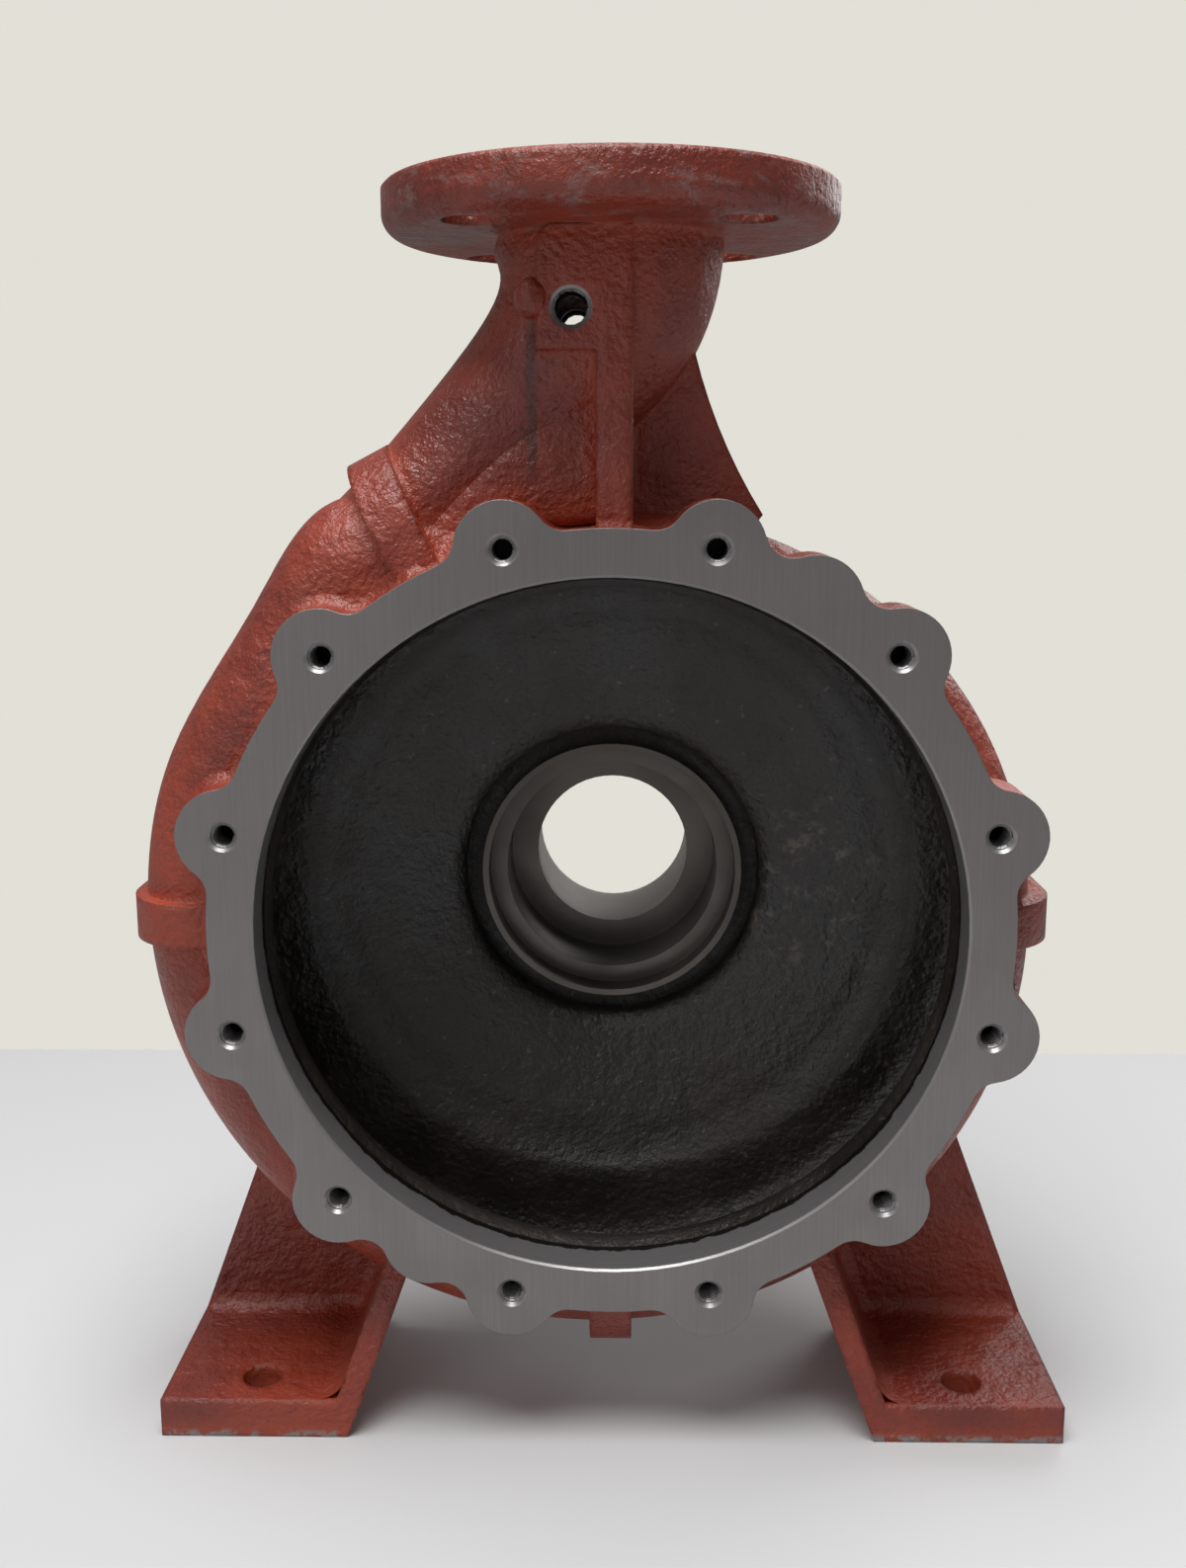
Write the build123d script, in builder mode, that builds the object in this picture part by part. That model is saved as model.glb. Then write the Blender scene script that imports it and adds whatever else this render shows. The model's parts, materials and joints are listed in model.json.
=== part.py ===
"""Volute pump casing, one grey iron casting with machined faces.

Frame: millimetres, +Z up, the shaft axis along Y through the origin. The machined
face that takes the pump cover is the plane Y = 0 and looks towards -Y. The suction
side is at +Y, the discharge points up, and the casing stands on its two feet.
A clock angle is in degrees clockwise from straight up, seen from the cover side.
A depth is a distance behind the cover face, along +Y.
"""
import os
from math import acos, cos, degrees, radians, sin, sqrt, tan

from build123d import *

# Cover joint: lobed flange with a ring of tapped holes round the machined register
cover_bolt_circle = 265.0
cover_bolt_count = 12
cover_first_clock = 15.0
cover_tap_drill = 8.0
cover_tap_depth = 20.0
cover_tap_mouth = 10.4
cover_flange_thickness = 24.0
lobe_radius = 15.8
lobe_blend = 9.0
valley_radius = 134.8
register_diameter = 238.1
register_depth = 17.0
register_chamfer = 0.8
register_lip = 1.5

# Two low bulges of the lobed edge, each as clock angle and reach from the axis
bulges = ((30.7, 144.3), (210.0, 141.3))

# Scroll: the wall moves outwards evenly with the clock angle, then runs to the throat
wall = 8.0
discharge_depth = 48.0
scroll_width = 64.0
scroll_edge_radius = 24.0
scroll_start_radius = 138.7
scroll_growth = 0.1
scroll_end_clock = 240.0
scroll_side = ((265.0, 164.6), (290.0, 164.0), (312.0, 163.8))
scroll_return_clock = 353.0

# Neck: its axis runs from the throat of the scroll up to the discharge flange
throat_x = -81.7
throat_z = 122.7
throat_rise = 42.0
throat_radius = 24.5
throat_sink = 1.0
throat_bore = 37.0
neck_bend_x = -37.0
neck_bend_z = 167.5
neck_radius = 38.0
neck_collar = 7.0

# Discharge flange, 2 inch class 125
discharge_height = 244.6
discharge_flange_diameter = 152.4
discharge_flange_thickness = 15.9
discharge_bolt_circle = 120.65
discharge_bolt_count = 4
discharge_bore = 52.5
flange_hole = 19.05
flange_edge = 1.2

# Web, rib and gauge pads between the neck and the scroll
web_thickness = 12.0
web_top = (26.5, 200.0)
web_waist = (35.5, 170.0)
web_foot = (52.0, 138.0)
rib_depth = 10.0
rib_left = -4.5
rib_right = 7.5
pad_left = -23.5
pad_bottom = 190.3
pad_corner = 6.0
pad_edge = 1.5
gauge_x = -12.3
gauge_z = 203.2
gauge_drill = 11.5
gauge_mouth = 13.7
gauge_boss = 26.0

# Bands that stand out round the scroll, and the one that crosses the throat
band_clocks = (90.0, 180.0, 270.0)
band_width = 15.0
band_height = 5.4
band_inner = 100.0
throat_band_clock = 332.5
throat_band_reach = 178.5

# Chamber wall, suction hub, seat of the wear ring and suction nozzle
chamber_radius = 112.0
chamber_depth = 74.0
back_radius = 102.0
hub_face_depth = 93.0
hub_radius = 50.5
groove_radius = 57.0
groove_lip_depth = 89.0
groove_lip_round = 4.0
groove_depth = 12.0
seat_diameter = 96.0
seat_depth = 11.0
seat_bore = 83.0
seat_bore_end = 133.0
suction_throat = 61.5
nozzle_radius = 44.0
nozzle_blend = 9.0

# Suction flange, 2 1/2 inch class 125
suction_face_depth = 181.0
suction_flange_diameter = 177.8
suction_flange_thickness = 17.5
suction_bolt_circle = 139.7
suction_bolt_count = 4
suction_bore = 63.5
suction_bore_length = 20.0

# Feet
shaft_height = 185.8
foot_spacing = 254.0
foot_hole = 14.3
foot_hole_setback = 16.0
foot_front_depth = 3.2
foot_back_depth = 84.0
foot_width = 66.7
foot_thickness = 13.8
leg_lean = 20.5
leg_height = 96.0
leg_web_depth = 69.5
leg_web_thickness = 11.0
leg_rib_thickness = 9.0
leg_rib_rake = 16.4

# Values worked out from the sizes above
scroll_front = discharge_depth - scroll_width / 2
flange_underside = discharge_height - discharge_flange_thickness
rise = radians(throat_rise)
register_radius = register_diameter / 2
foot_inner = (foot_spacing - foot_width) / 2
foot_outer = (foot_spacing + foot_width) / 2
foot_top = foot_thickness - shaft_height
lean_slope = tan(radians(leg_lean))
rib_foot = valley_radius - wall
band_corner = scroll_edge_radius + band_height / 2
bands_at = [
    (turn, scroll_start_radius + scroll_growth * min(turn, scroll_end_clock) + band_height, band_corner)
    for turn in band_clocks
]
bands_at.append((throat_band_clock, throat_band_reach, scroll_width / 2))


def polar(radius, clock):
    """Point of the cover-side view at a radius and a clock angle."""
    return (radius * sin(radians(clock)), radius * cos(radians(clock)))


def depth_plane(depth):
    """Plane square to the shaft at a depth, with x to the right and y up."""
    return Plane.XZ.offset(-depth)


def scroll_outline(inset):
    """Points of the scroll wall, moved inwards by an inset, for a closed curve."""
    steps = 8
    turns = [scroll_end_clock * i / steps for i in range(steps + 1)]
    points = [polar(scroll_start_radius + scroll_growth * t - inset, t) for t in turns]
    points += [polar(radius - inset, clock) for clock, radius in scroll_side]
    reach = throat_radius - inset
    points.append((throat_x - reach * sin(rise), throat_z + reach * cos(rise)))
    points.append(polar(scroll_start_radius - inset, scroll_return_clock))
    return points


neck_axis = Spline(
    (throat_x, discharge_depth, throat_z),
    (neck_bend_x, discharge_depth, neck_bend_z),
    (0, discharge_depth, flange_underside),
    tangents=[(cos(rise), 0, sin(rise)), (0, 0, 1)],
)
neck_shares = [i / 6 for i in range(7)]


def neck_plane(share):
    """Plane square to the neck at a share of its length, with x along the shaft."""
    return Plane(origin=neck_axis @ share, x_dir=(0, 1, 0), z_dir=neck_axis % share)


# Lobed flange that takes the cover: each hollow between lobes is blended by arcs
lobe_centres = [
    (cover_bolt_circle / 2, cover_first_clock + 360 * i / cover_bolt_count) for i in range(cover_bolt_count)
]
lobe_centres += [(reach - lobe_radius, clock) for clock, reach in bulges]
lobe_centres.sort(key=lambda centre: centre[1])
blend_ring = valley_radius + lobe_blend
blend_reach = lobe_radius + lobe_blend
lobe_ring = cover_bolt_circle / 2
blend_turn = degrees(acos((lobe_ring**2 + blend_ring**2 - blend_reach**2) / (2 * lobe_ring * blend_ring)))

with BuildPart() as cover_flange:
    with BuildSketch(depth_plane(0)):
        Circle(valley_radius)
        hollows = []
        next_centres = lobe_centres[1:] + lobe_centres[:1]
        for (radius, clock), (next_radius, next_clock) in zip(lobe_centres, next_centres):
            here = Vector(*polar(radius, clock))
            there = Vector(*polar(next_radius, next_clock))
            with Locations(here):
                Circle(lobe_radius)
            if (next_clock - clock) % 360 < 2 * blend_turn:
                span = there - here
                outward = Vector(-span.Y, span.X).normalized()
                hollow = (here + there) / 2 + outward * sqrt(blend_reach**2 - (span.length / 2) ** 2)
                Polygon((0, 0), here, hollow, there, align=None)
                hollows.append(hollow)
            else:
                for lobe, turn in ((here, clock + blend_turn), (there, next_clock - blend_turn)):
                    hollow = Vector(*polar(blend_ring, turn))
                    Polygon((0, 0), lobe, hollow, align=None)
                    hollows.append(hollow)
        with Locations(*hollows):
            Circle(lobe_blend, mode=Mode.SUBTRACT)
    extrude(amount=-cover_flange_thickness)

# Bands: rounded slabs in radial planes, with their long edges rounded too
with BuildPart() as bands:
    for clock, reach, corner in bands_at:
        outward = (sin(radians(clock)), 0, cos(radians(clock)))
        side = (outward[2], 0, -outward[0])
        with BuildSketch(Plane((0, discharge_depth, 0), x_dir=outward, z_dir=side)) as section:
            with Locations(((band_inner + reach) / 2, 0)):
                Rectangle(reach - band_inner, scroll_width + 2 * band_height)
            fillet(section.vertices().sort_by(Axis.X)[-2:], corner)
        extrude(amount=band_width / 2, both=True)

# Neck with the discharge flange
with BuildPart() as neck:
    for share in neck_shares:
        swell = (share * share * (3 - 2 * share)) ** 2
        radius = throat_radius - throat_sink + (neck_radius - throat_radius + throat_sink) * swell
        spread = (scroll_width / 2 - throat_radius - throat_sink) * (1 - share) ** 2
        with BuildSketch(neck_plane(share)):
            Ellipse(radius + spread, radius)
    loft()
    with BuildSketch(Plane.XY.offset(flange_underside)):
        with Locations((0, discharge_depth)):
            Circle(discharge_flange_diameter / 2)
    extrude(amount=discharge_flange_thickness)
    joint = neck.edges().filter_by(GeomType.CIRCLE).group_by(Axis.Z)[0].sort_by(SortBy.RADIUS)
    fillet(joint[0], neck_collar)
    rims = neck.edges().filter_by(GeomType.CIRCLE).sort_by(SortBy.RADIUS)[-2:]
    chamfer(rims, flange_edge)

# Rib and gauge pad on the cover side of the neck, and the boss on the far side
with BuildPart() as pads:
    with BuildSketch(depth_plane(rib_depth)) as front_pad:
        with Locations(((pad_left + rib_right) / 2, (pad_bottom + flange_underside) / 2)):
            Rectangle(rib_right - pad_left, flange_underside - pad_bottom)
        fillet(front_pad.vertices().group_by(Axis.Z)[0].sort_by(Axis.X)[0], pad_corner)
        with Locations(((rib_left + rib_right) / 2, (rib_foot + flange_underside) / 2)):
            Rectangle(rib_right - rib_left, flange_underside - rib_foot)
    extrude(amount=rib_depth - discharge_depth)
    fillet(pads.faces().sort_by(Axis.Y)[0].edges(), pad_edge)
    with BuildSketch(depth_plane(discharge_depth)):
        with Locations((gauge_x, gauge_z)):
            Circle(gauge_boss / 2)
    extrude(amount=rib_depth - discharge_depth)
    fillet(pads.faces().sort_by(Axis.Y)[-1].edges(), pad_edge)

# One foot: pad, leaning web across the shaft and leaning rib along it
with BuildPart() as foot:
    with BuildSketch(Plane.YZ) as rib_side:
        Polygon(
            (foot_front_depth, foot_top),
            (leg_web_depth, foot_top),
            (leg_web_depth, leg_height - shaft_height),
            (foot_front_depth + leg_height * tan(radians(leg_rib_rake)), leg_height - shaft_height),
            align=None,
        )
    extrude(amount=foot_outer)
    with BuildSketch(Plane.XZ):
        Polygon(
            (foot_inner, -shaft_height),
            (foot_inner + leg_rib_thickness, -shaft_height),
            (foot_inner + leg_rib_thickness - leg_height * lean_slope, leg_height - shaft_height),
            (foot_inner - leg_height * lean_slope, leg_height - shaft_height),
            align=None,
        )
    extrude(amount=-foot_back_depth, mode=Mode.INTERSECT)
    with BuildSketch(depth_plane(leg_web_depth)):
        Polygon(
            (foot_inner, -shaft_height),
            (foot_outer, -shaft_height),
            (foot_outer, foot_top),
            (foot_outer - leg_height * lean_slope, foot_top + leg_height),
            (foot_inner - leg_height * lean_slope, leg_height - shaft_height),
            align=None,
        )
    extrude(amount=-leg_web_thickness)
    with BuildSketch(depth_plane(foot_front_depth)):
        Polygon(
            (foot_inner, -shaft_height),
            (foot_outer, -shaft_height),
            (foot_outer, foot_top),
            (foot_inner - foot_thickness * lean_slope, foot_top),
            align=None,
        )
    extrude(amount=foot_front_depth - foot_back_depth)

with BuildPart() as casing:
    # Scroll body with rounded edges
    with BuildSketch(depth_plane(scroll_front)):
        with BuildLine():
            Spline(*scroll_outline(0), periodic=True)
        make_face()
    extrude(amount=-scroll_width)
    fillet(casing.edges(), scroll_edge_radius)
    add(cover_flange.part)
    add(neck.part)
    add(pads.part)

    # Web that joins the neck to the top of the scroll
    with BuildSketch(depth_plane(discharge_depth)):
        with BuildLine():
            ThreePointArc(web_top, web_waist, web_foot)
            Polyline(web_foot, (0, scroll_start_radius / 2), (throat_x / 2, throat_z), web_top)
        make_face()
    extrude(amount=web_thickness / 2, both=True)

    # Suction side: dished wall, hub, nozzle and flange
    with BuildSketch(Plane.XY) as suction:
        with BuildLine():
            Polyline(
                (0, discharge_depth),
                (back_radius, discharge_depth),
                (back_radius, chamber_depth + wall + 1),
                (groove_radius + 2 * wall, groove_lip_depth + wall),
                (groove_radius + wall, groove_lip_depth + groove_depth + wall),
                (seat_bore / 2 + wall, groove_lip_depth + groove_depth + 2 * wall),
                (seat_bore / 2 + wall, seat_bore_end),
                (nozzle_radius, seat_bore_end + wall),
                (nozzle_radius, suction_face_depth - suction_flange_thickness),
                (suction_flange_diameter / 2, suction_face_depth - suction_flange_thickness),
                (suction_flange_diameter / 2, suction_face_depth),
                (0, suction_face_depth),
                close=True,
            )
        make_face()
        inner = suction.vertices().filter_by_position(Axis.X, 1, back_radius + 1)
        fillet(inner.filter_by_position(Axis.Y, chamber_depth, suction_face_depth - 1), nozzle_blend / 2)
    revolve(axis=Axis.Y)
    add(bands.part)
    add(foot.part)
    mirror(foot.part, about=Plane.YZ)

with BuildPart() as cavity:
    # Passage of the scroll and bore of the neck
    with BuildSketch(depth_plane(scroll_front + wall)):
        with BuildLine():
            Spline(*scroll_outline(wall), periodic=True)
        make_face()
    extrude(amount=2 * wall - scroll_width)
    fillet(cavity.edges(), scroll_edge_radius - wall)
    for share in neck_shares:
        radius = (throat_bore + (discharge_bore - throat_bore) * share) / 2
        spread = (scroll_width / 2 - wall - throat_bore / 2) * (1 - share) ** 2
        with BuildSketch(neck_plane(share)):
            Ellipse(radius + spread, radius)
    loft()
    with BuildSketch(Plane.XY.offset(flange_underside)):
        with Locations((0, discharge_depth)):
            Circle(discharge_bore / 2)
    extrude(amount=discharge_flange_thickness)

    # Machined register, chamber, groove, seat and suction bore
    with BuildSketch(Plane.XY) as bores:
        with BuildLine():
            Polyline(
                (0, 0),
                (register_radius + register_chamfer, 0),
                (register_radius, register_chamfer),
                (register_radius, register_depth),
                (register_radius - register_lip, register_depth + register_lip),
                (register_radius - register_lip, discharge_depth),
                (chamber_radius, chamber_depth),
                (groove_radius, groove_lip_depth),
                (groove_radius, groove_lip_depth + groove_depth),
                (hub_radius, groove_lip_depth + groove_depth),
                (hub_radius, hub_face_depth),
                (seat_diameter / 2, hub_face_depth),
                (seat_diameter / 2, hub_face_depth + seat_depth),
                (seat_bore / 2, hub_face_depth + seat_depth),
                (seat_bore / 2, seat_bore_end),
                (suction_throat / 2, seat_bore_end),
                (suction_bore / 2, suction_face_depth - suction_bore_length),
                (suction_bore / 2, suction_face_depth),
                (0, suction_face_depth),
                close=True,
            )
        make_face()
        lip = bores.vertices().filter_by_position(Axis.X, groove_radius - 0.1, groove_radius + 0.1)
        fillet(lip.sort_by(Axis.Y)[0], groove_lip_round)
    revolve(axis=Axis.Y)

with BuildPart() as volute_casing:
    add(casing.part)
    add(cavity.part, mode=Mode.SUBTRACT)

    # Tapped holes of the cover joint
    with Locations(Plane.XZ):
        with PolarLocations(cover_bolt_circle / 2, cover_bolt_count, cover_first_clock):
            CounterSinkHole(cover_tap_drill / 2, cover_tap_mouth / 2, cover_tap_depth, 90)

    # Bolt holes of the discharge flange and the suction flange
    with Locations((0, discharge_depth, discharge_height)):
        with PolarLocations(discharge_bolt_circle / 2, discharge_bolt_count, 45):
            Hole(flange_hole / 2, discharge_flange_thickness)
    with Locations(-depth_plane(suction_face_depth)):
        with PolarLocations(suction_bolt_circle / 2, suction_bolt_count, 45):
            Hole(flange_hole / 2, suction_flange_thickness)

    # Foot holes
    with Locations(Location((0, foot_front_depth + foot_hole_setback, foot_top))):
        with GridLocations(foot_spacing, 1, 2, 1):
            Hole(foot_hole / 2, foot_thickness)

    # Gauge taps through both walls of the neck
    with Locations(depth_plane(rib_depth)):
        with Locations((gauge_x, gauge_z)):
            CounterSinkHole(gauge_drill / 2, gauge_mouth / 2, 2 * (discharge_depth - rib_depth), 90)

os.makedirs("parts", exist_ok=True)
volute_casing.part.label = "volute_casing"
export_step(volute_casing.part, "parts/volute_casing.step")
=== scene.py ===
"""Looks of a volute pump casing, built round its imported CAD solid.

Laid out as an add-on: the sizes and colours are properties, each group of pieces is an
operator, and main() runs them in order. Metres, +Z up, the shaft axis along Y through
the origin, the machined cover face in the plane Y = 0 looking towards -Y.
"""
import json
import math

import bmesh
import bpy
from mathutils import Matrix, Vector
from mathutils.bvhtree import BVHTree


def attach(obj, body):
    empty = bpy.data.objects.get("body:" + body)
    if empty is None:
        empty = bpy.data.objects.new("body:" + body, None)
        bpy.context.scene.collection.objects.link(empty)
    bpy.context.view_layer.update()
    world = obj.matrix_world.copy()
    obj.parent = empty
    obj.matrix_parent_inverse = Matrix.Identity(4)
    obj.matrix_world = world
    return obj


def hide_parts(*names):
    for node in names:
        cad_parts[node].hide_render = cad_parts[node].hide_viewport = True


bl_info = {
    "name": "Volute Pump Casing",
    "version": (1, 0, 0),
    "blender": (4, 5, 0),
    "location": "3D View > Sidebar > Casing",
    "description": "Dresses the solid of a volute pump casing and sets up its picture",
    "category": "Object",
}

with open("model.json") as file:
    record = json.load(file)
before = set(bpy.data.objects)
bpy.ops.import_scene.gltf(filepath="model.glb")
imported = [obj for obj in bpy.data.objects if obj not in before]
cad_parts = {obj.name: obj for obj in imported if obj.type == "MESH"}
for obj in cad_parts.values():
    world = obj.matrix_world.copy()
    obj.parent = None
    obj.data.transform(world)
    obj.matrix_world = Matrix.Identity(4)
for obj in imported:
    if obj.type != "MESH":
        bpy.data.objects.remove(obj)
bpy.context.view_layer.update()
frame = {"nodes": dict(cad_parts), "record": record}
NODE = "volute_casing"
BODY = "root"

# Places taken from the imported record, in metres
MOUNTS = {m["name"]: m for m in frame["record"]["mounts"]}
TAP_CIRCLE = MOUNTS["cover_bolts"]["dims"]["pcd_mm"] / 2000
TAP_COUNT = MOUNTS["cover_bolts"]["dims"]["count"]
TAP_RADIUS = MOUNTS["cover_bolts"]["dims"]["hole_r_mm"] / 1000
REGISTER_RADIUS = MOUNTS["cover_register"]["dims"]["r_mm"] / 1000
GAUGE = MOUNTS["gauge_taps"]
GAUGE_RADIUS = GAUGE["dims"]["r_mm"] / 1000
GAUGE_AT = Vector(GAUGE["pos_m"]) - Vector((0, GAUGE["dims"]["length_mm"] / 2000, 0))
SUCTION_FACE = MOUNTS["suction_face"]["pos_m"][1]
DISCHARGE_FACE = MOUNTS["discharge_face"]["pos_m"][2]
FOOT_BASE = MOUNTS["foot_base"]["pos_m"][2]

# Places and angles of the part's source that the record doesn't hold, in metres and radians
TAP_FIRST_CLOCK = math.radians(15)
TAP_STEP = 2 * math.pi / TAP_COUNT
REGISTER_END = 0.017
HUB_FACE = 0.093
HUB_RADIUS = 0.0505
SEAT_END = 0.133
FOOT_TOP = FOOT_BASE + 0.0138
LEG_LEAN = math.radians(20.5)

# Reaches that hold all the faces of a feature and none of its neighbours'
TAP_REACH = TAP_RADIUS * 1.32
TAP_END = 0.0215
REGISTER_REACH = 0.0012
RIM_START = REGISTER_RADIUS + 0.008
SUCTION_THROAT = 0.033
GAUGE_MOUTH = 0.0072
GAUGE_END = 0.09

# Slack for places compared with a machined face, and the depth given for no wall at all
FLAT = 0.0002
NO_HIT = 1.0

# Materials of the casting, in the order of its slots
PAINTED, MACHINED, TURNED, HUB, COATED, CAST_BORE = range(6)


def clock_point(radius, clock, depth):
    """Point at a radius and clock angle round the shaft, seen from the cover side."""
    return Vector((radius * math.sin(clock), depth, radius * math.cos(clock)))


def nearest_tap(place, depth):
    """Centre, at a depth, of the cover tap that is nearest to a place by clock angle."""
    turns = round((math.atan2(place.x, place.z) - TAP_FIRST_CLOCK) / TAP_STEP)
    return clock_point(TAP_CIRCLE, TAP_FIRST_CLOCK + turns * TAP_STEP, depth)


# Shader helpers

def link(tree, source, socket):
    """Sets an input socket from another socket, a number or a colour."""
    if isinstance(source, bpy.types.NodeSocket):
        tree.links.new(source, socket)
    elif isinstance(source, (int, float)):
        socket.default_value = source
    else:
        socket.default_value = (*source, 1) if len(socket.default_value) == 4 else source


def calc(tree, operation, a, b=0.5):
    """Result of a math node for two sockets or numbers."""
    node = tree.nodes.new("ShaderNodeMath")
    node.operation = operation
    link(tree, a, node.inputs[0])
    link(tree, b, node.inputs[1])
    return node.outputs[0]


def product(tree, *values):
    """All the values multiplied together."""
    result = values[0]
    for value in values[1:]:
        result = calc(tree, "MULTIPLY", result, value)
    return result


def fade(tree, value, low, high):
    """A mask that is 0 where the value is at low and 1 where it is at high."""
    node = tree.nodes.new("ShaderNodeMapRange")
    node.interpolation_type = "SMOOTHSTEP"
    node.inputs["From Min"].default_value = low
    node.inputs["From Max"].default_value = high
    link(tree, value, node.inputs["Value"])
    return node.outputs[0]


def blend(tree, share, a, b):
    """Colour a where the share is 0 and colour b where it is 1."""
    node = tree.nodes.new("ShaderNodeMix")
    node.data_type = "RGBA"
    link(tree, share, node.inputs[0])
    link(tree, a, node.inputs[6])
    link(tree, b, node.inputs[7])
    return node.outputs[2]


def noise(tree, place, scale, detail=4.0, rough=0.55):
    """Noise from 0 to 1 with a number of cells per metre."""
    node = tree.nodes.new("ShaderNodeTexNoise")
    node.inputs["Scale"].default_value = scale
    node.inputs["Detail"].default_value = detail
    node.inputs["Roughness"].default_value = rough
    tree.links.new(place, node.inputs["Vector"])
    return node.outputs["Fac"]


def mapped(tree, place, turn=(0, 0, 0), scale=(1, 1, 1), move=(0, 0, 0)):
    """Coordinates that are stretched, turned and moved."""
    node = tree.nodes.new("ShaderNodeMapping")
    node.inputs["Location"].default_value = move
    node.inputs["Rotation"].default_value = turn
    node.inputs["Scale"].default_value = scale
    tree.links.new(place, node.inputs["Vector"])
    return node.outputs[0]


def spot(tree, place, centre, radius, soft):
    """A round mask about a point, 1 inside and 0 outside."""
    node = tree.nodes.new("ShaderNodeVectorMath")
    node.operation = "DISTANCE"
    tree.links.new(place, node.inputs[0])
    node.inputs[1].default_value = centre
    return fade(tree, node.outputs["Value"], radius + soft, radius)


def group(name, inputs, outputs):
    """Node group with the inputs given as name and kind, and with float outputs."""
    tree = bpy.data.node_groups.new(name, "ShaderNodeTree")
    for label, kind in inputs:
        tree.interface.new_socket(label, in_out="INPUT", socket_type=kind)
    for label in outputs:
        tree.interface.new_socket(label, in_out="OUTPUT", socket_type="NodeSocketFloat")
    given = tree.nodes.new("NodeGroupInput").outputs
    out = tree.nodes.new("NodeGroupOutput").inputs
    return tree, given, out


def sand_cast_group():
    """Height and masks of a sand-cast skin: grain, lumps, pits and blotches."""
    tree, given, out = group(
        "Sand Cast Skin",
        (("Place", "NodeSocketVector"), ("Grain", "NodeSocketFloat"), ("Lumps", "NodeSocketFloat")),
        ("Height", "Pits", "Blotches"),
    )
    place = given["Place"]
    height = calc(tree, "MULTIPLY", noise(tree, place, 420, 3, 0.6), given["Grain"])
    for lumps in (noise(tree, place, 120, 3, 0.5), noise(tree, place, 38, 2, 0.5)):
        height = calc(tree, "ADD", height, calc(tree, "MULTIPLY", lumps, given["Lumps"]))
    pits = fade(tree, noise(tree, place, 260, 2, 0.7), 0.36, 0.24)
    blotches = fade(tree, noise(tree, place, 16, 4, 0.6), 0.35, 0.65)
    tree.links.new(height, out["Height"])
    tree.links.new(pits, out["Pits"])
    tree.links.new(blotches, out["Blotches"])
    return tree


def cutter_mark_group():
    """Fine parallel marks of a face mill or lathe, as a height and a mask of patches."""
    tree, given, out = group(
        "Cutter Marks",
        (("Along", "NodeSocketVector"), ("Place", "NodeSocketVector")),
        ("Lines", "Patches"),
    )
    lines = noise(tree, given["Along"], 1.0, 5, 0.7)
    patches = fade(tree, noise(tree, given["Place"], 22, 3, 0.6), 0.35, 0.7)
    tree.links.new(lines, out["Lines"])
    tree.links.new(patches, out["Patches"])
    return tree


def place_group(tree, source, **values):
    """Outputs of a node group that is put in a tree with values for its inputs."""
    node = tree.nodes.new("ShaderNodeGroup")
    node.node_tree = source
    for label, value in values.items():
        link(tree, value, node.inputs[label])
    return node.outputs


def start_material(name):
    """New material with its tree, shader, object coordinates and their X, Y and Z."""
    material = bpy.data.materials.new(name)
    material.use_nodes = True
    tree = material.node_tree
    place = tree.nodes.new("ShaderNodeTexCoord").outputs["Object"]
    split = tree.nodes.new("ShaderNodeSeparateXYZ")
    tree.links.new(place, split.inputs[0])
    return material, tree, tree.nodes["Principled BSDF"], place, split.outputs


def surface(tree, shader, colour, rough, height, distance, soften):
    """Joins colour, roughness and relief to the shader, with edges softened by a radius."""
    bump = tree.nodes.new("ShaderNodeBump")
    bump.inputs["Strength"].default_value = 1.0
    bump.inputs["Distance"].default_value = distance
    tree.links.new(height, bump.inputs["Height"])
    bevel = tree.nodes.new("ShaderNodeBevel")
    bevel.samples = 6
    bevel.inputs["Radius"].default_value = soften
    tree.links.new(bevel.outputs[0], bump.inputs["Normal"])
    link(tree, colour, shader.inputs["Base Color"])
    link(tree, rough, shader.inputs["Roughness"])
    tree.links.new(bump.outputs[0], shader.inputs["Normal"])


# Materials

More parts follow.
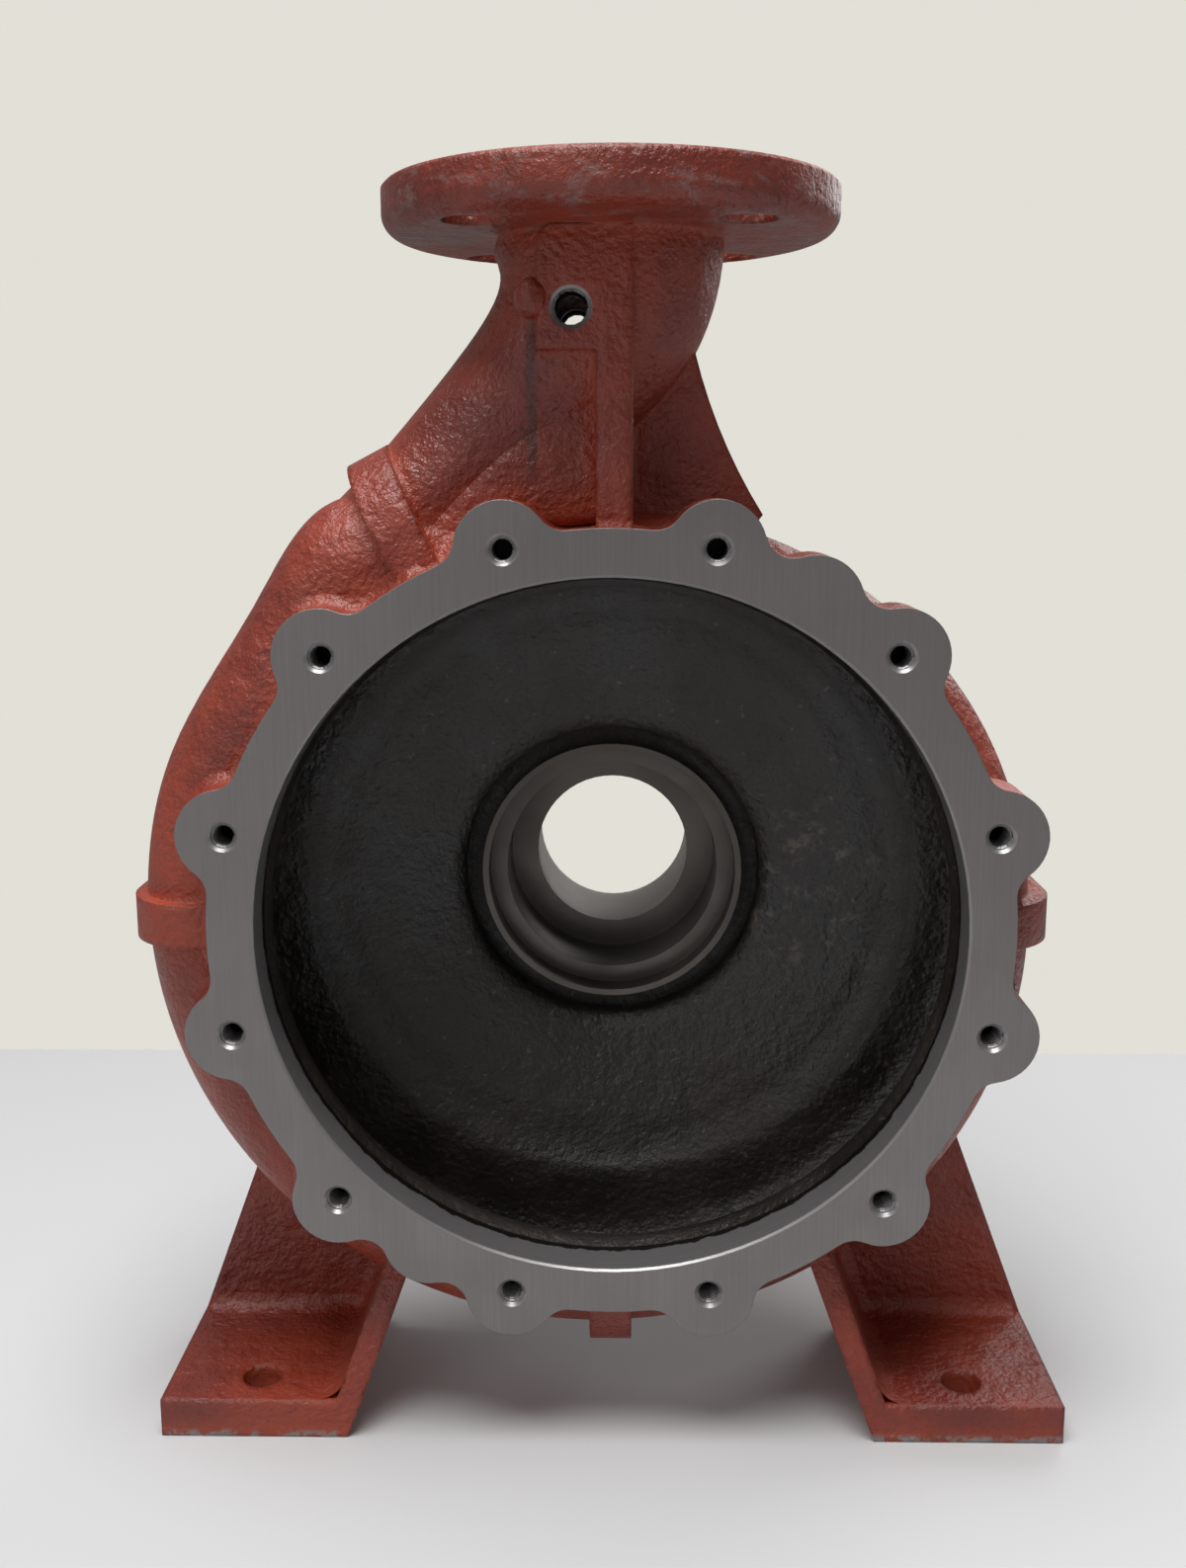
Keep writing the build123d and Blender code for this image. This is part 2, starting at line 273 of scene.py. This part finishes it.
def painted_iron(look, skin):
    """Red oxide paint over sand-cast iron, with grime, scuffs and chipped foot edges."""
    material, tree, shader, place, xyz = start_material("painted_iron")
    cast = place_group(tree, skin, Place=place, Grain=0.45, Lumps=0.7)
    shade = mapped(tree, place, move=(0.3, 0.1, 0.7))
    cloud = fade(tree, noise(tree, shade, 9, 3, 0.55), 0.3, 0.7)
    colour = blend(tree, cloud, look.paint, look.paint_deep)
    colour = blend(tree, product(tree, cast["Blotches"], 0.45), colour, look.bright_paint_and_highlight)
    colour = blend(tree, product(tree, cast["Pits"], 0.55), colour, look.grime)

    # Painted highlight: hollows that the AO node finds, such as the fillets behind the flange, get
    # the bright paint colour in place of the light that catches them
    hollow = tree.nodes.new("ShaderNodeAmbientOcclusion")
    hollow.samples = 6
    hollow.inputs["Distance"].default_value = 0.014
    deep = fade(tree, hollow.outputs["AO"], 0.85, 0.45)
    colour = blend(tree, product(tree, deep, 0.75), colour, look.bright_paint_and_highlight)

    # Darker vertical stripe down the front of the neck, beside the gauge pad
    stripe_at = 0.0255
    aside = calc(tree, "ABSOLUTE", calc(tree, "ADD", xyz["X"], stripe_at))
    dark_stripe = product(
        tree,
        fade(tree, aside, 0.0024, 0.0008),
        fade(tree, xyz["Z"], 0.146, 0.16),
        fade(tree, xyz["Z"], 0.206, 0.194),
        fade(tree, xyz["Y"], 0.05, 0.04),
    )
    colour = blend(tree, product(tree, dark_stripe, 0.7), colour, look.grime)

    # Scuffs on the discharge flange and chips along the bottom edges of the feet
    scuff_noise = noise(tree, mapped(tree, place, scale=(1, 1, 2.5)), 70, 5, 0.7)
    on_flange = fade(tree, xyz["Z"], 0.2235, 0.2292)
    scuffs = product(tree, fade(tree, scuff_noise, 0.52, 0.66), on_flange)
    chip_noise = noise(tree, place, 160, 4, 0.65)
    on_base = fade(tree, xyz["Z"], FOOT_BASE + 0.0035, FOOT_BASE + 0.0005)
    chips = product(tree, fade(tree, chip_noise, 0.44, 0.56), on_base)
    worn = calc(tree, "MAXIMUM", product(tree, scuffs, 0.28), chips)
    colour = blend(tree, worn, colour, look.bare_iron)

    rough = calc(tree, "ADD", product(tree, cast["Blotches"], 0.16), 0.3)
    surface(tree, shader, colour, rough, cast["Height"], 0.0024, soften=0.0034)
    shader.inputs["Specular IOR Level"].default_value = 0.5
    return material


def machined_iron(look, marks):
    """Milled face: satin grey iron with fine marks and faint darker patches."""
    material, tree, shader, place, _ = start_material("machined_iron")
    along = mapped(tree, place, turn=(0, math.radians(24), 0), scale=(900, 1, 26))
    cut = place_group(tree, marks, Along=along, Place=place)
    colour = blend(tree, cut["Lines"], look.machined_dark, look.machined)
    colour = blend(tree, product(tree, cut["Patches"], 0.35), colour, look.machined_dark)
    rough = calc(tree, "ADD", product(tree, cut["Patches"], 0.12), 0.36)
    surface(tree, shader, colour, rough, cut["Lines"], 0.00006, soften=0.0005)
    shader.inputs["Metallic"].default_value = 0.75
    return material


def turned_iron(name, marks, bright, dark, rough_base, metal=0.7, coating=None):
    """Turned bore: rings round the shaft axis, and a coating that laps over the register's end."""
    material, tree, shader, place, xyz = start_material(name)
    along = mapped(tree, place, scale=(4, 1400, 4))
    cut = place_group(tree, marks, Along=along, Place=place)
    colour = blend(tree, cut["Lines"], dark, bright)
    colour = blend(tree, product(tree, cut["Patches"], 0.4), colour, dark)
    if coating is not None:
        ragged = product(tree, noise(tree, place, 130, 5, 0.7), 0.007)
        edge = calc(tree, "ADD", xyz["Y"], ragged)
        colour = blend(tree, fade(tree, edge, 0.0168, 0.0176), colour, coating)
    rough = calc(tree, "ADD", product(tree, cut["Patches"], 0.15), rough_base)
    surface(tree, shader, colour, rough, cut["Lines"], 0.00005, soften=0.0004)
    shader.inputs["Metallic"].default_value = metal
    return material


def coated_bore(look, skin):
    """Black coating on the rough cast inside, with a dusty lighter patch."""
    material, tree, shader, place, _ = start_material("coated_bore")
    cast = place_group(tree, skin, Place=place, Grain=0.55, Lumps=0.8)
    thin = product(tree, cast["Blotches"], 0.6)
    colour = blend(tree, thin, look.coating, look.coating_brown)
    patch = spot(tree, place, centre=(0.075, 0.08, -0.005), radius=0.012, soft=0.035)
    dust = product(tree, patch, fade(tree, noise(tree, place, 150, 5, 0.7), 0.5, 0.68))
    colour = blend(tree, product(tree, dust, 0.75), colour, look.dust)
    colour = blend(tree, product(tree, cast["Pits"], 0.5), colour, look.dust)
    rough = calc(tree, "ADD", product(tree, cast["Blotches"], 0.2), 0.3)
    surface(tree, shader, colour, rough, cast["Height"], 0.0014, soften=0.01)
    return material


# Mesh helpers

def keep_piece(bm, name, materials):
    """Turns a bmesh into an object of the scene that rides on the casing's body."""
    mesh = bpy.data.meshes.new(name)
    bm.to_mesh(mesh)
    bm.free()
    piece = bpy.data.objects.new(name, mesh)
    bpy.context.scene.collection.objects.link(piece)
    for material in materials:
        mesh.materials.append(material)
    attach(piece, BODY)
    return piece


def shade_smooth(bm):
    """Marks all the faces to be shaded smooth."""
    for face in bm.faces:
        face.smooth = True


def new_verts(made):
    """The vertices among the geometry that a bmesh operator made."""
    return [item for item in made if isinstance(item, bmesh.types.BMVert)]


def new_edges(made):
    """The edges among the geometry that a bmesh operator made."""
    return [item for item in made if isinstance(item, bmesh.types.BMEdge)]


def face_finish(face):
    """Finish of a face that a cutter has touched, or None for one left as cast."""
    centre = face.calc_center_median()
    x, y, z = centre
    normal = face.normal
    radius = math.hypot(x, z)
    if abs(y) < FLAT and normal.y < -0.99:
        return MACHINED
    if y > SUCTION_FACE - FLAT or z < FOOT_BASE + FLAT:
        return MACHINED
    if z > DISCHARGE_FACE - FLAT and normal.z > 0.99:
        return MACHINED
    faces_out = (normal.x * x + normal.z * z) / radius > 0.05
    if abs(radius - REGISTER_RADIUS) < REGISTER_REACH and y < REGISTER_END + FLAT and not faces_out:
        return TURNED
    if radius < HUB_RADIUS + FLAT and HUB_FACE - FLAT < y < SEAT_END + FLAT and not faces_out:
        return HUB
    if radius < SUCTION_THROAT and y > SEAT_END:
        return CAST_BORE
    if (centre - nearest_tap(centre, y)).length < TAP_REACH and y < TAP_END:
        return TURNED
    from_gauge = math.hypot(x - GAUGE_AT.x, z - GAUGE_AT.z)
    if from_gauge < GAUGE_MOUTH and abs(normal.y) < 0.9 and y < GAUGE_END:
        return TURNED
    return None


def is_flange_rim(edge):
    """Whether an edge is part of the lobed outer edge of the machined cover face."""
    if any(abs(v.co.y) > FLAT for v in edge.verts) or len(edge.link_faces) != 2:
        return False
    middle = (edge.verts[0].co + edge.verts[1].co) / 2
    if math.hypot(middle.x, middle.z) < RIM_START:
        return False
    if (middle - nearest_tap(middle, 0)).length < TAP_RADIUS * 2:
        return False
    return sum(face.normal.y < -0.99 for face in edge.link_faces) == 1


def hit_depth(tree, place):
    """Depth of the first surface behind a place of the cover-side view, or NO_HIT."""
    hit = tree.ray_cast(Vector((place.x, -0.05, place.z)), Vector((0, 1, 0)))[0]
    return hit.y if hit is not None and hit.y > FLAT else NO_HIT


def finish_faces(bm):
    """Gives every face its material: cut faces first, then the cast skin outside and inside."""
    cut = set()
    for face in bm.faces:
        finish = face_finish(face)
        if finish is not None:
            cut.add(face)
            face.material_index = finish

    # The outside is what can be reached from the face furthest to the side over uncut faces
    uncut = (f for f in bm.faces if f not in cut)
    start = max(uncut, key=lambda f: abs(f.calc_center_median().x))
    outside = {start}
    to_visit = [start]
    while to_visit:
        for edge in to_visit.pop().edges:
            for other in edge.link_faces:
                if other not in outside and other not in cut:
                    outside.add(other)
                    to_visit.append(other)
    for face in bm.faces:
        if face not in cut:
            face.material_index = PAINTED if face in outside else COATED


def rim_ring(source):
    """New mesh with a copy of the cover flange's rim, and its vertices in their order."""
    bm = bmesh.new()
    copies = {}
    for edge in source.edges:
        if is_flange_rim(edge):
            for vert in edge.verts:
                if vert not in copies:
                    copies[vert] = bm.verts.new(vert.co)
            bm.edges.new([copies[v] for v in edge.verts])
    bmesh.ops.remove_doubles(bm, verts=bm.verts, dist=0.0008)
    ring = [bm.verts[:][0]]
    while True:
        beside = [e.other_vert(ring[-1]) for e in ring[-1].link_edges]
        ahead = [v for v in beside if v not in ring]
        if not ahead:
            return bm, ring
        ring.append(ahead[0])


def outward_normals(places):
    """For each place of a closed ring round the shaft, the direction away from the ring."""
    count = len(places)
    area = sum(
        places[i].x * places[i - 1].z - places[i - 1].x * places[i].z for i in range(count)
    )
    sense = 1 if area < 0 else -1
    normals = []
    for i, place in enumerate(places):
        along = places[(i + 1) % count] - places[i - 1]
        normal = Vector((along.z, 0, -along.x)).normalized() * sense
        if normal.dot(place) < -0.02:
            normal.negate()
        normals.append(normal)
    return normals


class CasingLook(bpy.types.PropertyGroup):
    """Colours of the casting, sizes of its small features and the edge of the floor."""

    paint: bpy.props.FloatVectorProperty(
        name="Paint",
        description="Red oxide paint",
        subtype="COLOR",
        default=(0.19, 0.026, 0.0145),
    )
    paint_deep: bpy.props.FloatVectorProperty(
        name="Deep Paint",
        description="Darker patches of the paint",
        subtype="COLOR",
        default=(0.115, 0.016, 0.0105),
    )
    # Bright Paint serves for brighter patches of the paint and also as a painted highlight in hollows
    bright_paint_and_highlight: bpy.props.FloatVectorProperty(
        name="Bright Paint",
        description="Thick paint in hollows",
        subtype="COLOR",
        default=(0.35, 0.05, 0.017),
    )
    grime: bpy.props.FloatVectorProperty(
        name="Grime",
        description="Dirt in the pits of the skin",
        subtype="COLOR",
        default=(0.04, 0.01, 0.008),
    )
    bare_iron: bpy.props.FloatVectorProperty(
        name="Bare Iron",
        description="Iron where the paint is gone",
        subtype="COLOR",
        default=(0.23, 0.21, 0.2),
    )
    machined: bpy.props.FloatVectorProperty(
        name="Machined Iron",
        description="Milled faces",
        subtype="COLOR",
        default=(0.25, 0.232, 0.228),
    )
    machined_dark: bpy.props.FloatVectorProperty(
        name="Dark Machined Iron",
        description="Marks in milled faces",
        subtype="COLOR",
        default=(0.165, 0.152, 0.15),
    )
    turned: bpy.props.FloatVectorProperty(
        name="Turned Iron",
        description="Register and taps",
        subtype="COLOR",
        default=(0.34, 0.33, 0.33),
    )
    turned_dark: bpy.props.FloatVectorProperty(
        name="Dark Turned Iron",
        description="Marks in the register and the taps",
        subtype="COLOR",
        default=(0.2, 0.19, 0.19),
    )
    hub: bpy.props.FloatVectorProperty(
        name="Hub",
        description="Stained machined steps of the hub",
        subtype="COLOR",
        default=(0.15, 0.135, 0.122),
    )
    hub_dark: bpy.props.FloatVectorProperty(
        name="Dark Hub",
        description="Marks in the steps of the hub",
        subtype="COLOR",
        default=(0.055, 0.048, 0.044),
    )
    # Suction Bore is painted light: its pale colour stands in for light that falls in through the
    # suction opening onto the bore
    bore: bpy.props.FloatVectorProperty(
        name="Suction Bore",
        description="Pale scale in the suction bore",
        subtype="COLOR",
        default=(0.52, 0.5, 0.47),
    )
    bore_dark: bpy.props.FloatVectorProperty(
        name="Dark Suction Bore",
        description="Streaks in the suction bore",
        subtype="COLOR",
        default=(0.36, 0.34, 0.32),
    )
    coating: bpy.props.FloatVectorProperty(
        name="Coating",
        description="Black coating inside",
        subtype="COLOR",
        default=(0.012, 0.0095, 0.0085),
    )
    coating_brown: bpy.props.FloatVectorProperty(
        name="Brown Coating",
        description="Thin places of the coating",
        subtype="COLOR",
        default=(0.026, 0.019, 0.015),
    )
    dust: bpy.props.FloatVectorProperty(
        name="Dust",
        description="Dry dust on the coating",
        subtype="COLOR",
        default=(0.12, 0.1, 0.085),
    )
    floor: bpy.props.FloatVectorProperty(
        name="Floor",
        description="Plain pale floor",
        subtype="COLOR",
        default=(0.5, 0.5, 0.505),
    )
    blend_width: bpy.props.FloatProperty(
        name="Blend Width",
        description="Fillet between cover flange and scroll",
        subtype="DISTANCE",
        unit="LENGTH",
        default=0.0055,
    )
    foot_cove: bpy.props.FloatProperty(
        name="Foot Cove",
        description="Fillet between pad, web and rib of a foot",
        subtype="DISTANCE",
        unit="LENGTH",
        default=0.008,
    )
    thread_pitch: bpy.props.FloatProperty(
        name="Thread Pitch",
        description="Pitch of the threads in the taps",
        subtype="DISTANCE",
        unit="LENGTH",
        default=0.0015875,
    )
    thread_height: bpy.props.FloatProperty(
        name="Thread Height",
        description="Height of a thread ridge",
        subtype="DISTANCE",
        unit="LENGTH",
        default=0.0006,
    )
    table_edge: bpy.props.FloatProperty(
        name="Table Edge",
        description="Depth of the floor's back edge behind the cover face",
        subtype="DISTANCE",
        unit="LENGTH",
        default=0.395,
    )


class CASING_OT_casting(bpy.types.Operator):
    """Make the casting: the solid's own surface with a finish for each kind of face"""

    bl_idname = "casing.casting"
    bl_label = "Casting"
    sharpest_smooth = math.radians(24)

    def execute(self, context):
        look = context.scene.casing_look
        bm = bmesh.new()
        bm.from_mesh(frame["nodes"][NODE].data)
        bmesh.ops.remove_doubles(bm, verts=bm.verts, dist=1e-6)
        bm.normal_update()
        finish_faces(bm)
        shade_smooth(bm)
        for edge in bm.edges:
            joined = len(edge.link_faces) == 2
            edge.smooth = joined and edge.calc_face_angle(0) < self.sharpest_smooth
        piece = keep_piece(bm, "casting", self.finishes(look))
        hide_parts(NODE)
        return {"FINISHED"}

    @staticmethod
    def finishes(look):
        """Materials in the order of PAINTED, MACHINED, TURNED, HUB, COATED and CAST_BORE."""
        skin = sand_cast_group()
        marks = cutter_mark_group()
        return [
            painted_iron(look, skin),
            machined_iron(look, marks),
            turned_iron(
                "turned_iron", marks, look.turned, look.turned_dark, 0.3, coating=look.coating,
            ),
            turned_iron("hub_iron", marks, look.hub, look.hub_dark, 0.3),
            coated_bore(look, skin),
            # The suction bore's pale colour is painted light, standing in for light that falls in
            # through the suction opening
            turned_iron("cast_bore", marks, look.bore, look.bore_dark, 0.55, metal=0.0),
        ]


class CASING_OT_blends(bpy.types.Operator):
    """Add the cast blends: round the cover flange, under the neck, beside the tap and at the feet"""

    bl_idname = "casing.blends"
    bl_label = "Cast Blends"
    curve_steps = 6
    bite = 0.0003

    # The strip round the flange is left out where no wall is near behind the rim
    flange_back = 0.0238
    deepest_wall = 0.036

    # Outline of the iron left of the rib as X and Z, its front and its depth
    neck_outline = (
        (-0.066, 0.1225), (-0.036, 0.1315), (0.002, 0.1355), (0.004, 0.186),
        (-0.012, 0.186), (-0.034, 0.164), (-0.066, 0.134),
    )
    neck_front = 0.021
    neck_depth = 0.054
    neck_rounding = 0.006

    boss_radius = 0.0065
    boss_shape = (0.85, 0.9, 1.0)
    boss_from_tap = (-0.0125, 0.0019, 0.003)

    # Where pad, web and rib of the right foot meet, how far the coves run across, forwards
    # and up from there, and a place in the open corner that they face
    foot_corner = (0.0975, 0.0695, FOOT_TOP)
    foot_runs = (0.061, 0.0655, 0.047)
    foot_open = (0.13, 0.03, -0.14)

    def execute(self, context):
        look = context.scene.casing_look
        paint = bpy.data.materials["painted_iron"]
        casting = bmesh.new()
        casting.from_mesh(bpy.data.objects["casting"].data)
        skirt = self.flange_skirt(casting, look.blend_width)
        casting.free()
        keep_piece(skirt, "flange_blend", [paint])
        keep_piece(self.neck_fill(), "neck_fill", [paint])
        keep_piece(self.side_boss(), "side_boss", [paint])
        keep_piece(self.foot_coves(look.foot_cove), "foot_coves", [paint])
        return {"FINISHED"}

    def flange_skirt(self, casting, width):
        """Concave strip between the lobed edge of the cover flange and the scroll behind it."""
        tree = BVHTree.FromBMesh(casting)
        bm, ring = rim_ring(casting)
        places = [v.co.copy() for v in ring]
        outward = outward_normals(places)
        near = [hit_depth(tree, p + n * FLAT) for p, n in zip(places, outward)]
        far = [hit_depth(tree, p + n * width) for p, n in zip(places, outward)]
        share = self.skirt_shares(near, far)

        rows = [ring]
        edges = bm.edges[:]
        for _ in range(self.curve_steps):
            made = bmesh.ops.extrude_edge_only(bm, edges=edges)["geom"]
            edges = new_edges(made)
            by_place = {tuple(v.co): v for v in new_verts(made)}
            rows.append([by_place[tuple(v.co)] for v in rows[-1]])

        for i, place in enumerate(places):
            reach = width * share[i]
            root = min(near[i], self.flange_back)
            corner = Vector((place.x, root, place.z))
            start = corner - outward[i] * self.bite - Vector((0, max(reach, 0.0002), 0))
            end = place + outward[i] * max(reach, 0.0001)
            end.y = root
            if reach > 0:
                end.y = min(hit_depth(tree, end), self.deepest_wall) + self.bite
            for row, verts in enumerate(rows):
                t = row / self.curve_steps
                verts[i].co = start * (1 - t) ** 2 + corner * 2 * t * (1 - t) + end * t ** 2
        shade_smooth(bm)
        bmesh.ops.recalc_face_normals(bm, faces=bm.faces)
        if bm.faces[:][0].normal.y > 0:
            bmesh.ops.reverse_faces(bm, faces=bm.faces)
        return bm

    def skirt_shares(self, near, far):
        """Share of the full width at each place: 1 where a wall is near, running out at the ends."""
        count = len(near)
        share = [
            1.0 if n < self.flange_back and f < self.deepest_wall else 0.0
            for n, f in zip(near, far)
        ]
        for _ in range(4):
            mean = [(share[i - 1] + share[i] + share[(i + 1) % count]) / 3 for i in range(count)]
            share = [min(pair) for pair in zip(share, mean)]
        return share

    def foot_coves(self, radius):
        """Concave fillets where the pad, the web and the rib of each foot meet."""
        corner = Vector(self.foot_corner)
        across = Vector((1, 0, 0))
        deep = Vector((0, -1, 0))
        up = Vector((0, 0, 1))
        up_leg = Vector((-math.sin(LEG_LEAN), 0, math.cos(LEG_LEAN)))
        directions = ((across, deep, up), (deep, across, up_leg), (up_leg, across, deep))
        bm = bmesh.new()
        for side in (1, -1):
            for (along, leg_a, leg_b), length in zip(directions, self.foot_runs):
                start = corner - along * 0.001
                profile = []
                for i in range(self.curve_steps + 1):
                    t = i / self.curve_steps
                    place = start + leg_a * radius * (1 - t) ** 2 + leg_b * radius * t ** 2
                    profile.append(bm.verts.new(place - (leg_a + leg_b) * 0.0002))
                edges = [bm.edges.new(pair) for pair in zip(profile, profile[1:])]
                moved = new_verts(bmesh.ops.extrude_edge_only(bm, edges=edges)["geom"])
                bmesh.ops.translate(bm, verts=moved, vec=along * length)
                bmesh.ops.scale(bm, verts=[*profile, *moved], vec=(side, 1, 1))
        shade_smooth(bm)
        for face in bm.faces:
            face.normal_update()
            centre = face.calc_center_median()
            inward = Vector(self.foot_open)
            inward.x = math.copysign(inward.x, centre.x)
            if face.normal.dot(inward - centre) < 0:
                face.normal_flip()
        return bm

    def neck_fill(self):
        """Iron between the underside of the neck and the top of the cover flange, left of the rib."""
        bm = bmesh.new()
        verts = [bm.verts.new((x, self.neck_front, z)) for x, z in self.neck_outline]
        face = bm.faces.new(verts)
        made = bmesh.ops.extrude_face_region(bm, geom=[face])["geom"]
        bmesh.ops.translate(bm, verts=new_verts(made), vec=(0, self.neck_depth, 0))
        bmesh.ops.recalc_face_normals(bm, faces=bm.faces)
        bmesh.ops.bevel(
            bm, geom=bm.edges[:], offset=self.neck_rounding, offset_type="OFFSET",
            affect="EDGES", segments=4, profile=0.5, material=-1,
        )
        shade_smooth(bm)
        return bm

    def side_boss(self):
        """Small raised bump beside the gauge tap."""
        bm = bmesh.new()
        bmesh.ops.create_uvsphere(bm, u_segments=32, v_segments=16, radius=self.boss_radius)
        bmesh.ops.scale(bm, verts=bm.verts, vec=self.boss_shape)
        bmesh.ops.translate(bm, verts=bm.verts, vec=GAUGE_AT + Vector(self.boss_from_tap))
        shade_smooth(bm)
        return bm


class CASING_OT_threads(bpy.types.Operator):
    """Add thread ridges in the cover taps and the gauge taps"""

    bl_idname = "casing.threads"
    bl_label = "Threads"
    cover_turns = 11
    gauge_turns = 7
    steps_a_turn = 14

    # Where the threads start behind the cover face and behind the pad, and in the rear tap
    cover_start = 0.0012
    gauge_start = 0.0009
    rear_start = 0.0735

    def execute(self, context):
        look = context.scene.casing_look
        bm = bmesh.new()
        for i in range(TAP_COUNT):
            clock = TAP_FIRST_CLOCK + i * TAP_STEP
            centre = clock_point(TAP_CIRCLE, clock, self.cover_start)
            self.ridge(bm, centre, TAP_RADIUS, self.cover_turns, look)
        for depth in (GAUGE_AT.y + self.gauge_start, self.rear_start):
            centre = Vector((GAUGE_AT.x, depth, GAUGE_AT.z))
            self.ridge(bm, centre, GAUGE_RADIUS, self.gauge_turns, look)
        bmesh.ops.recalc_face_normals(bm, faces=bm.faces)
        keep_piece(bm, "threads", [bpy.data.materials["turned_iron"]])
        return {"FINISHED"}

    def ridge(self, bm, centre, radius, turns, look):
        """Spins a small triangle round and along a hole that runs in +Y."""
        pitch = look.thread_pitch
        steps = self.steps_a_turn * turns
        corners = ((0.0001, 0), (0.0001, pitch * 0.8), (-look.thread_height, pitch * 0.4))
        verts = [bm.verts.new(centre + Vector((radius + out, along, 0))) for out, along in corners]
        face = bm.faces.new(verts)
        bmesh.ops.spin(
            bm, geom=[face, *face.edges, *verts], cent=centre, axis=(0, 1, 0),
            dvec=(0, pitch * turns / steps, 0), angle=2 * math.pi * turns, steps=steps,
        )


class CASING_OT_stage(bpy.types.Operator):
    """Set the floor, the lamps, the world and the camera"""

    bl_idname = "casing.stage"
    bl_label = "Stage"
    floor_half = 2.0

    # Name, place, what it points at, diameter and watts
    lamps = (
        ("top_light", (-0.15, -0.25, 1.5), (0, 0.05, 0), 1.2, 40),
        ("front_fill", (-1.2, -1.6, 0.7), (0, 0, 0), 1.4, 6),
        ("back_light", (0.9, 1.3, 0.8), (0, 0.1, 0), 1.0, 7),
    )

    # Light of the world, and what the camera sees of it
    world_light = (0.62, 0.61, 0.6)
    world_seen = (0.76, 0.745, 0.68)
    world_strength = 0.4
    seen_strength = 1.0

    # The photograph's camera, fitted to the faces and bolt circles of the casing
    camera_place = (0.0043927, -0.5063653, 0.1482335)
    camera_pitch = 0.187169
    camera_yaw = 0.019426
    camera_roll = -0.00252
    camera_lens = 36.28

    def execute(self, context):
        scene = context.scene
        self.floor(scene)
        self.world(scene)
        for lamp in self.lamps:
            self.lamp(scene, *lamp)
        self.camera(scene)
        scene.view_settings.view_transform = "Standard"
        return {"FINISHED"}

    def floor(self, scene):
        """Plain pale floor under the feet that ends behind the casing."""
        look = scene.casing_look
        bm = bmesh.new()
        bmesh.ops.create_grid(bm, x_segments=1, y_segments=1, size=self.floor_half)
        place = (0, look.table_edge - self.floor_half, FOOT_BASE - 0.0002)
        bmesh.ops.translate(bm, verts=bm.verts, vec=place)
        mesh = bpy.data.meshes.new("floor")
        bm.to_mesh(mesh)
        bm.free()
        material = bpy.data.materials.new("pale_floor")
        material.use_nodes = True
        shader = material.node_tree.nodes["Principled BSDF"]
        shader.inputs["Base Color"].default_value = (*look.floor, 1)
        shader.inputs["Roughness"].default_value = 0.6
        mesh.materials.append(material)
        floor = bpy.data.objects.new("floor", mesh)
        scene.collection.objects.link(floor)

    def world(self, scene):
        """Soft light all round, with a paler backdrop where it is seen."""
        world = bpy.data.worlds.new("studio")
        scene.world = world
        world.use_nodes = True
        tree = world.node_tree
        back = tree.nodes["Background"]
        rays = tree.nodes.new("ShaderNodeLightPath").outputs
        seen = calc(tree, "MAXIMUM", rays["Is Camera Ray"], rays["Is Transmission Ray"])
        link(tree, blend(tree, seen, self.world_light, self.world_seen), back.inputs["Color"])
        more = product(tree, seen, self.seen_strength - self.world_strength)
        link(tree, calc(tree, "ADD", more, self.world_strength), back.inputs["Strength"])

    @staticmethod
    def lamp(scene, name, place, aim, size, watts):
        """Round soft lamp that points from its place at an aim."""
        data = bpy.data.lights.new(name, "AREA")
        data.shape = "DISK"
        data.size = size
        data.energy = watts
        lamp = bpy.data.objects.new(name, data)
        lamp.location = place
        lamp.rotation_euler = (Vector(aim) - Vector(place)).to_track_quat("-Z", "Y").to_euler()
        scene.collection.objects.link(lamp)

    def camera(self, scene):
        """Camera of the photograph: where it stood, how it was turned and its lens."""
        data = bpy.data.cameras.new("camera")
        data.sensor_fit = "VERTICAL"
        data.sensor_height = 36
        data.lens = self.camera_lens
        data.clip_end = 100
        camera = bpy.data.objects.new("camera", data)
        look_along_y = Matrix.Rotation(math.pi / 2, 4, "X")
        yaw = Matrix.Rotation(self.camera_yaw, 4, "Y")
        pitch = Matrix.Rotation(-self.camera_pitch, 4, "X")
        roll = Matrix.Rotation(self.camera_roll, 4, "Z")
        turn = look_along_y @ (yaw @ pitch @ roll)
        camera.matrix_world = Matrix.Translation(self.camera_place) @ turn
        scene.collection.objects.link(camera)
        scene.camera = camera


class CASING_PT_panel(bpy.types.Panel):
    """Lists the looks and the steps that dress the casing"""

    bl_label = "Volute Casing"
    bl_idname = "CASING_PT_panel"
    bl_space_type = "VIEW_3D"
    bl_region_type = "UI"
    bl_category = "Casing"

    def draw(self, context):
        for key in CasingLook.__annotations__:
            self.layout.prop(context.scene.casing_look, key)
        for step in STEPS:
            self.layout.operator(step.bl_idname)


STEPS = (CASING_OT_casting, CASING_OT_blends, CASING_OT_threads, CASING_OT_stage)
CLASSES = (CasingLook, *STEPS, CASING_PT_panel)


def register():
    for cls in CLASSES:
        bpy.utils.register_class(cls)
    bpy.types.Scene.casing_look = bpy.props.PointerProperty(type=CasingLook)


def unregister():
    del bpy.types.Scene.casing_look
    for cls in reversed(CLASSES):
        bpy.utils.unregister_class(cls)


def main():
    register()
    bpy.ops.casing.casting()
    bpy.ops.casing.blends()
    bpy.ops.casing.threads()
    bpy.ops.casing.stage()


if __name__ == "__main__":
    main()
